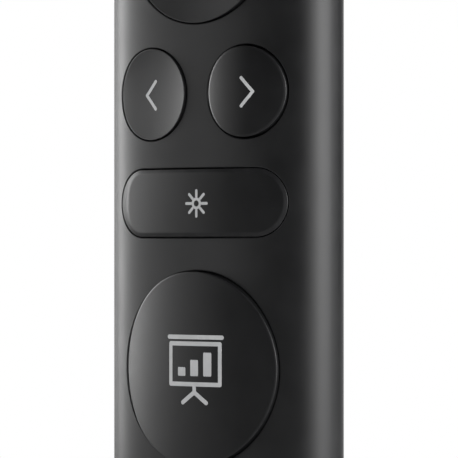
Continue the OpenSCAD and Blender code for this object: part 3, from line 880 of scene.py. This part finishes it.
def column(x, high):
    """A filled upright column, as neighbouring strokes."""
    count = int(COLUMN_W / COLUMN_PITCH)
    middles = [x + COLUMN_W * (i / count - 0.5) for i in range(count + 1)]
    return [stroke(middle, COLUMN_FOOT, middle, high, COLUMN_STROKE) for middle in middles]


def slide_board():
    """A projection board on its stand, with three columns on it."""
    board = [(-3.35, 2.75), (3.35, 2.75), (3.35, -1.55), (-3.35, -1.55), (-3.35, 2.75)]
    lines = [board, [(-3.6, 3.45), (3.6, 3.45)], [(0, -1.55), (0, -2.5)],
             [(0, -2.4), (-1.6, -3.5)], [(0, -2.4), (1.6, -3.5)]]
    columns = column(-1.75, 0.1) + column(0, 0.9) + column(1.75, 1.7)
    return moved(strokes(lines, BIG_STROKE) + columns, BIG_X)


def microphone():
    capsule = arc_points(0, 1.6, 0.95, 0, 180) + arc_points(0, -0.1, 0.95, 180, 360)
    lines = [capsule + capsule[:1], arc_points(0, -0.1, 1.9, 180, 360), [(0, -2.0), (0, -2.9)],
             [(-1.0, -2.9), (1.0, -2.9)]]
    return strokes(lines, MICROPHONE_STROKE)


SIGNS = {
    "mute": microphone(),
    "previous": chevron(-1, 0.4),
    "next": chevron(1, 0.6),
    "pointer": sun(),
    "action": slide_board(),
}

# ---- Materials ----


def of_type(owner, kind):
    return next(n for n in owner.node_tree.nodes if n.type == kind)


def put(node, **values):
    """Sets a node's sockets by name, with _ for a space."""
    for socket, value in values.items():
        node.inputs[socket.replace("_", " ")].default_value = value
    return node


def fresh(name, **constants):
    """A new material, and its shader with constants on its sockets."""
    material = bpy.data.materials.new(name)
    material.use_nodes = True
    return material, put(of_type(material, "BSDF_PRINCIPLED"), **constants)


def link(value, socket):
    value.id_data.links.new(value, socket)


def fed(value, kind, socket, **values):
    """A new node of a kind, which a value is linked to."""
    node = put(value.id_data.nodes.new("ShaderNode" + kind), **values)
    link(value, node.inputs[socket])
    return node


NOISE_ROUGHNESS = 0.55
NOISE_LOW, NOISE_HIGH = 0.3, 0.7


def noise(coordinates, grain, detail=3.0):
    """Noise whose bumps are about grain millimetres across."""
    scale = 1 / (grain * MM)
    node = fed(coordinates, "TexNoise", "Vector", Scale=scale, Detail=detail, Roughness=NOISE_ROUGHNESS)
    return node.outputs["Fac"]


def ranged(value, start, end, low, high):
    """Turns the range start to end into the range low to high."""
    node = fed(value, "MapRange", "Value", From_Min=start, From_Max=end, To_Min=low, To_Max=high)
    return node.outputs["Result"]


def spread(value, low, high):
    """Turns noise, which mostly keeps between two levels, into the range low to high."""
    return ranged(value, NOISE_LOW, NOISE_HIGH, low, high)


def joined(operation, first, second):
    """Two values joined by an operation of arithmetic."""
    node = fed(first, "Math", 0)
    node.operation = operation
    link(second, node.inputs[1])
    return node.outputs["Value"]


def mixed(factor, first, second):
    """A mix of two colours, each of them constant or another node's output."""
    node = fed(factor, "Mix", "Factor")
    node.data_type = "RGBA"
    for socket, colour in ((node.inputs[6], first), (node.inputs[7], second)):
        if isinstance(colour, tuple):
            socket.default_value = (*colour, 1)
        else:
            link(colour, socket)
    return node.outputs[2]


# How blotchy and how strong the lighter edge colour is: edge wear, and a painted highlight on rounded edges.
WEAR_AND_HIGHLIGHT_BLOTCH, WEAR_AND_HIGHLIGHT_RANGE = 1.1, (0.2, 1)
GRAIN_DEPTH = 0.1
SOFT_ROUGH = (0.34, 0.38)


def finish(name, dark, light, rough, blotch=4.0, grain=0.12, bump=0.2, wear_and_highlight=None, **constants):
    """A surface whose colour drifts between two shades, with a fine grain and an uneven gloss."""
    material, shader = fresh(name, **constants)
    nodes = material.node_tree.nodes
    coordinates = nodes.new("ShaderNodeTexCoord").outputs["Object"]
    drift, fine = noise(coordinates, blotch, 2.0), noise(coordinates, grain)
    colour = mixed(spread(drift, 0, 1), dark, light)
    # Rounded edges lighten towards the given colour, in blotches: edge wear, and a painted highlight along
    # those edges.
    if wear_and_highlight:
        wear_and_highlight_node = nodes.new("ShaderNodeAttribute")
        wear_and_highlight_node.attribute_name = "wear_and_highlight"
        uneven = spread(noise(coordinates, WEAR_AND_HIGHLIGHT_BLOTCH), *WEAR_AND_HIGHLIGHT_RANGE)
        colour = mixed(joined("MULTIPLY", wear_and_highlight_node.outputs["Fac"], uneven), colour, wear_and_highlight)
    relief = fed(fine, "Bump", "Height", Strength=bump, Distance=grain * MM * GRAIN_DEPTH)
    link(colour, shader.inputs["Base Color"])
    link(spread(drift, *rough), shader.inputs["Roughness"])
    link(relief.outputs["Normal"], shader.inputs["Normal"])
    return material


def soft_black(name, dark, light, wear_and_highlight, gloss, start, end):
    """Black plastic with a soft-touch coat, which loses its gloss where a face is seen nearly edge on. Start
    and end are how far the face is turned there: 0 for a face seen square on, up to 1."""
    material = finish(name, dark, light, SOFT_ROUGH, wear_and_highlight=wear_and_highlight)
    turn = material.node_tree.nodes.new("ShaderNodeLayerWeight").outputs["Facing"]
    shader = of_type(material, "BSDF_PRINCIPLED")
    link(ranged(turn, start, end, gloss, 0.0), shader.inputs["Specular IOR Level"])
    return material


# The third shade of each is the lighter edge colour: edge wear, and a painted highlight on rounded edges.
BODY_SHADES = (0.006, 0.0061, 0.0064), (0.0085, 0.0086, 0.009), (0.02, 0.02, 0.021)
KEY_SHADES = (0.005, 0.0051, 0.0054), (0.007, 0.0071, 0.0075), (0.018, 0.018, 0.019)
BODY_BLACK = soft_black("body_black", *BODY_SHADES, 0.2, 0.7, 0.9)
KEY_BLACK = soft_black("key_black", *KEY_SHADES, 0.175, 0.64, 0.82)
MUTE_BLACK = soft_black("mute_black", *KEY_SHADES, 0.175, 0.4, 0.65)
INK = finish("sign_ink", (0.39, 0.395, 0.4), (0.45, 0.455, 0.46), (0.5, 0.62), blotch=1.2, grain=0.05)

SOLDER_MASK = ((0.006, 0.02, 0.013), (0.01, 0.03, 0.019), (0.28, 0.36))
TRACK_GREEN = (0.03, 0.07, 0.04)
TRACK_PITCH, TRACK_EDGE = 2.2, (0.03, 0.06)


def board_material():
    """Dark solder mask over copper tracks."""
    material = finish("circuit_board", *SOLDER_MASK, blotch=6, grain=0.3)
    coordinates = of_type(material, "TEX_COORD").outputs["Object"]
    tracks = fed(coordinates, "TexVoronoi", "Vector", Scale=1 / (TRACK_PITCH * MM))
    tracks.feature = "DISTANCE_TO_EDGE"
    colour = of_type(material, "BSDF_PRINCIPLED").inputs["Base Color"]
    band = ranged(tracks.outputs["Distance"], *TRACK_EDGE, 1, 0)
    link(mixed(band, colour.links[0].from_socket, TRACK_GREEN), colour)
    return material


SLOT_MATERIALS = {"circuit_board": board_material()}


def dress(slot, *look, **constants):
    """Gives the CAD solids of a slot their finish."""
    SLOT_MATERIALS[slot] = finish(slot, *look, **constants)


dress("screw_steel", (0.42, 0.42, 0.44), (0.55, 0.55, 0.56), (0.25, 0.4), 0.8, 0.05, Metallic=1.0)
dress("light_guide", (0.62, 0.64, 0.66), (0.7, 0.72, 0.74), (0.2, 0.3), 1.0, 0.05, Transmission_Weight=0.5)
dress("led_body", (0.6, 0.58, 0.5), (0.72, 0.7, 0.62), (0.3, 0.45), 0.6, 0.05)
dress("socket_steel", (0.45, 0.45, 0.46), (0.58, 0.58, 0.59), (0.22, 0.35), 1.5, 0.06, Metallic=1.0)
dress("black_plastic", (0.014, 0.014, 0.015), (0.02, 0.02, 0.021), (0.4, 0.5), 1.5, 0.08)
dress("battery_foil", (0.5, 0.5, 0.51), (0.66, 0.66, 0.66), (0.3, 0.5), 5, 0.4, 0.5, Metallic=1.0)
dress("white_tape", (0.62, 0.6, 0.56), (0.72, 0.7, 0.67), (0.5, 0.65), 3, 0.2)
dress("foam", (0.03, 0.03, 0.032), (0.055, 0.055, 0.058), (0.85, 0.95), 1.2, 0.35, 1.0)
dress("red_lead", (0.4, 0.015, 0.012), (0.5, 0.025, 0.02), (0.35, 0.45), 1.5, 0.08)
dress("black_lead", (0.012, 0.012, 0.012), (0.02, 0.02, 0.02), (0.35, 0.45), 1.5, 0.08)
dress("ivory_plastic", (0.6, 0.55, 0.42), (0.7, 0.65, 0.52), (0.4, 0.5), 1.5, 0.08)
dress("shield_steel", (0.5, 0.5, 0.5), (0.62, 0.62, 0.61), (0.25, 0.4), 2.5, 0.15, 0.4, Metallic=1.0)
dress("chip", (0.014, 0.014, 0.014), (0.022, 0.022, 0.022), (0.5, 0.65), 1.2, 0.06, 0.5)
dress("ceramic", (0.5, 0.52, 0.48), (0.6, 0.62, 0.58), (0.3, 0.45), 1.0, 0.06)
dress("passives", (0.2, 0.12, 0.06), (0.32, 0.22, 0.13), (0.4, 0.55), 1.0, 0.06)
dress("motor_steel", (0.45, 0.45, 0.45), (0.58, 0.58, 0.58), (0.25, 0.4), 2.0, 0.1, Metallic=1.0)
dress("gold_contact", (0.72, 0.5, 0.2), (0.85, 0.62, 0.28), (0.18, 0.32), 0.8, 0.06, Metallic=1.0)
dress("magnet_nickel", (0.5, 0.49, 0.46), (0.62, 0.61, 0.58), (0.18, 0.3), 1.5, 0.1, Metallic=1.0)
dress("switch_body", (0.03, 0.031, 0.033), (0.045, 0.046, 0.048), (0.4, 0.55), 1.2, 0.07)
dress("plunger", (0.5, 0.49, 0.46), (0.62, 0.6, 0.57), (0.35, 0.5), 0.8, 0.06)

# ---- Pieces ----

front_housing().build("front_shell", BODY_BLACK, "case", "housing", ["front_housing"])
back_cover().build("rear_shell", BODY_BLACK, "case", "housing", ["back_cover"])
for key in KEYS:
    black = MUTE_BLACK if key.name == "mute" else KEY_BLACK
    keycap(key).build(key.name + "_cap", black, key.name, "keycap", [key.name + "_key"])
    sign(key, SIGNS[key.name]).build(key.name + "_sign", INK, key.name, "keycap")
power_cap().build("power_cap", KEY_BLACK, "power", "keycap", ["power_button"])

slots = {part["node"]: part["material_slot"] for part in frame["record"]["subparts"]}
for name, node in frame["nodes"].items():
    if slots[name] in SLOT_MATERIALS:
        node.data.materials.clear()
        node.data.materials.append(SLOT_MATERIALS[slots[name]])

# ---- Camera, floor and light ----

PHOTO_SIZE = 458
HORIZON_ROW = 244.3
AXIS_COLUMN = 226.95
FOCAL_PIXELS = 3438
SENSOR_MM = 36
CAMERA_AZIMUTH = math.radians(38.56)
CAMERA_DISTANCE = 369.8
CAMERA_HEIGHT = 49.0


def around(azimuth, height, distance):
    """A point round the object, in metres: azimuth 0 is in front of the keys and 90 is on the right."""
    turn = math.radians(azimuth)
    return Vector((math.sin(turn) * distance, -math.cos(turn) * distance, height)) * MM


def add_camera():
    data = bpy.data.cameras.new("photo_view")
    data.sensor_width = SENSOR_MM
    data.lens = FOCAL_PIXELS * SENSOR_MM / PHOTO_SIZE
    data.shift_x = (PHOTO_SIZE / 2 - AXIS_COLUMN) / PHOTO_SIZE
    data.shift_y = (HORIZON_ROW - PHOTO_SIZE / 2) / PHOTO_SIZE
    data.clip_start, data.clip_end = 0.01, 20
    camera = linked("photo_view", data)
    camera.location = around(math.degrees(CAMERA_AZIMUTH), CAMERA_HEIGHT, CAMERA_DISTANCE)
    camera.rotation_euler = (math.pi / 2, 0, CAMERA_AZIMUTH)
    bpy.context.scene.camera = camera


def add_soft_box(name, first, radiances):
    """A curved soft box that stands on the floor round the object: a row of strips, each with its own
    radiance. The first one's azimuth is given from the camera's."""
    for number, radiance in enumerate(radiances):
        data = bpy.data.lights.new(f"{name}_{number}", "AREA")
        data.shape = "RECTANGLE"
        data.size, data.size_y = STRIP_W * MM, STRIP_TALL * MM
        data.energy = math.pi * data.size * data.size_y * radiance
        light = linked(data.name, data)
        azimuth = math.degrees(CAMERA_AZIMUTH) + first + number * STRIP_TURN
        light.location = around(azimuth, STRIP_TALL / 2, STRIP_DISTANCE)
        towards = Vector((0, 0, CAMERA_HEIGHT)) * MM - light.location
        light.rotation_euler = towards.to_track_quat("-Z", "Y").to_euler()


def seen_rays(owner):
    """1 for rays that the camera sees straight, by reflection or through glass; 0 for those on the object."""
    path = owner.node_tree.nodes.new("ShaderNodeLightPath").outputs
    total = path["Is Camera Ray"]
    for name in ("Is Glossy Ray", "Is Transmission Ray"):
        total = joined("MAXIMUM", total, path[name])
    return total


FILL = 0.25


def add_world():
    world = bpy.data.worlds.new("studio")
    world.use_nodes = True
    bpy.context.scene.world = world
    background = put(of_type(world, "BACKGROUND"), Color=(1, 1, 1, 1))
    link(ranged(seen_rays(world), 0, 1, FILL, 1), background.inputs["Strength"])


FLOOR_HALF = 1500.0
FLOOR_NEAR, FLOOR_FAR = 120.0, 360.0
NEAR_GLOW = 0.3
MATT = dict(Roughness=1.0, Specular_IOR_Level=0.0)


def add_stage(name, corners, faces, material):
    mesh = bpy.data.meshes.new(name)
    mesh.from_pydata([Vector(corner) * MM for corner in corners], [], faces)
    mesh.materials.append(material)
    piece = linked(name, mesh)
    return piece


def floor_material():
    """Pale close by, where it takes the object's shadow, and plain white further out."""
    material, shader = fresh("floor", Base_Color=(0.5, 0.5, 0.5, 1), Emission_Color=(1, 1, 1, 1), **MATT)
    nodes = material.node_tree.nodes
    seen = seen_rays(material)
    link(ranged(seen, 0, 1, 0, NEAR_GLOW), shader.inputs["Emission Strength"])
    distance = fed(nodes.new("ShaderNodeTexCoord").outputs["Object"], "VectorMath", 0)
    distance.operation = "LENGTH"
    far = ranged(distance.outputs["Value"], FLOOR_NEAR * MM, FLOOR_FAR * MM, 0, 1)
    far.node.interpolation_type = "SMOOTHSTEP"
    mix = fed(joined("MULTIPLY", seen, far), "MixShader", "Fac")
    link(shader.outputs["BSDF"], mix.inputs[1])
    link(nodes.new("ShaderNodeEmission").outputs["Emission"], mix.inputs[2])
    link(mix.outputs["Shader"], of_type(material, "OUTPUT_MATERIAL").inputs["Surface"])
    return material


def add_floor():
    corners = [(x * FLOOR_HALF, y * FLOOR_HALF, 0) for x, y in ((-1, -1), (1, -1), (1, 1), (-1, 1))]
    add_stage("floor", corners, [(0, 1, 2, 3)], floor_material())


FLAG_R, FLAG_TOP, FLAG_SPAN, FLAG_STEPS = 700.0, 700.0, 135.0, 18


def add_flag():
    """A dark curved flat and its roof on the camera's side, which black plastic needs to look black."""
    material, _ = fresh("flag", Base_Color=(0.01, 0.01, 0.01, 1), **MATT)
    turns = math.degrees(CAMERA_AZIMUTH) + FLAG_SPAN * np.linspace(-1, 1, FLAG_STEPS + 1)
    corners = [around(turn, height, FLAG_R) / MM for turn in turns for height in (0.0, FLAG_TOP)]
    middle = len(corners)
    corners.append((0, 0, FLAG_TOP))
    faces = [(2 * i, 2 * i + 2, 2 * i + 3, 2 * i + 1) for i in range(FLAG_STEPS)]
    faces += [(2 * i + 1, 2 * i + 3, middle) for i in range(FLAG_STEPS)]
    add_stage("flag", corners, faces, material).visible_camera = False


STRIP_W, STRIP_TALL, STRIP_TURN, STRIP_DISTANCE = 137.0, 250.0, 15.0, 520.0

add_camera()
add_world()
add_floor()
add_flag()
add_soft_box("left_box", -150, [1.2, 0.85, 14.1, 4.1, 2.2, 1.6])
add_soft_box("right_box", 0, [2.3, 6.3, 10.6, 15.4, 14.0, 11.4, 7.8])
bpy.context.scene.view_settings.view_transform = "Standard"
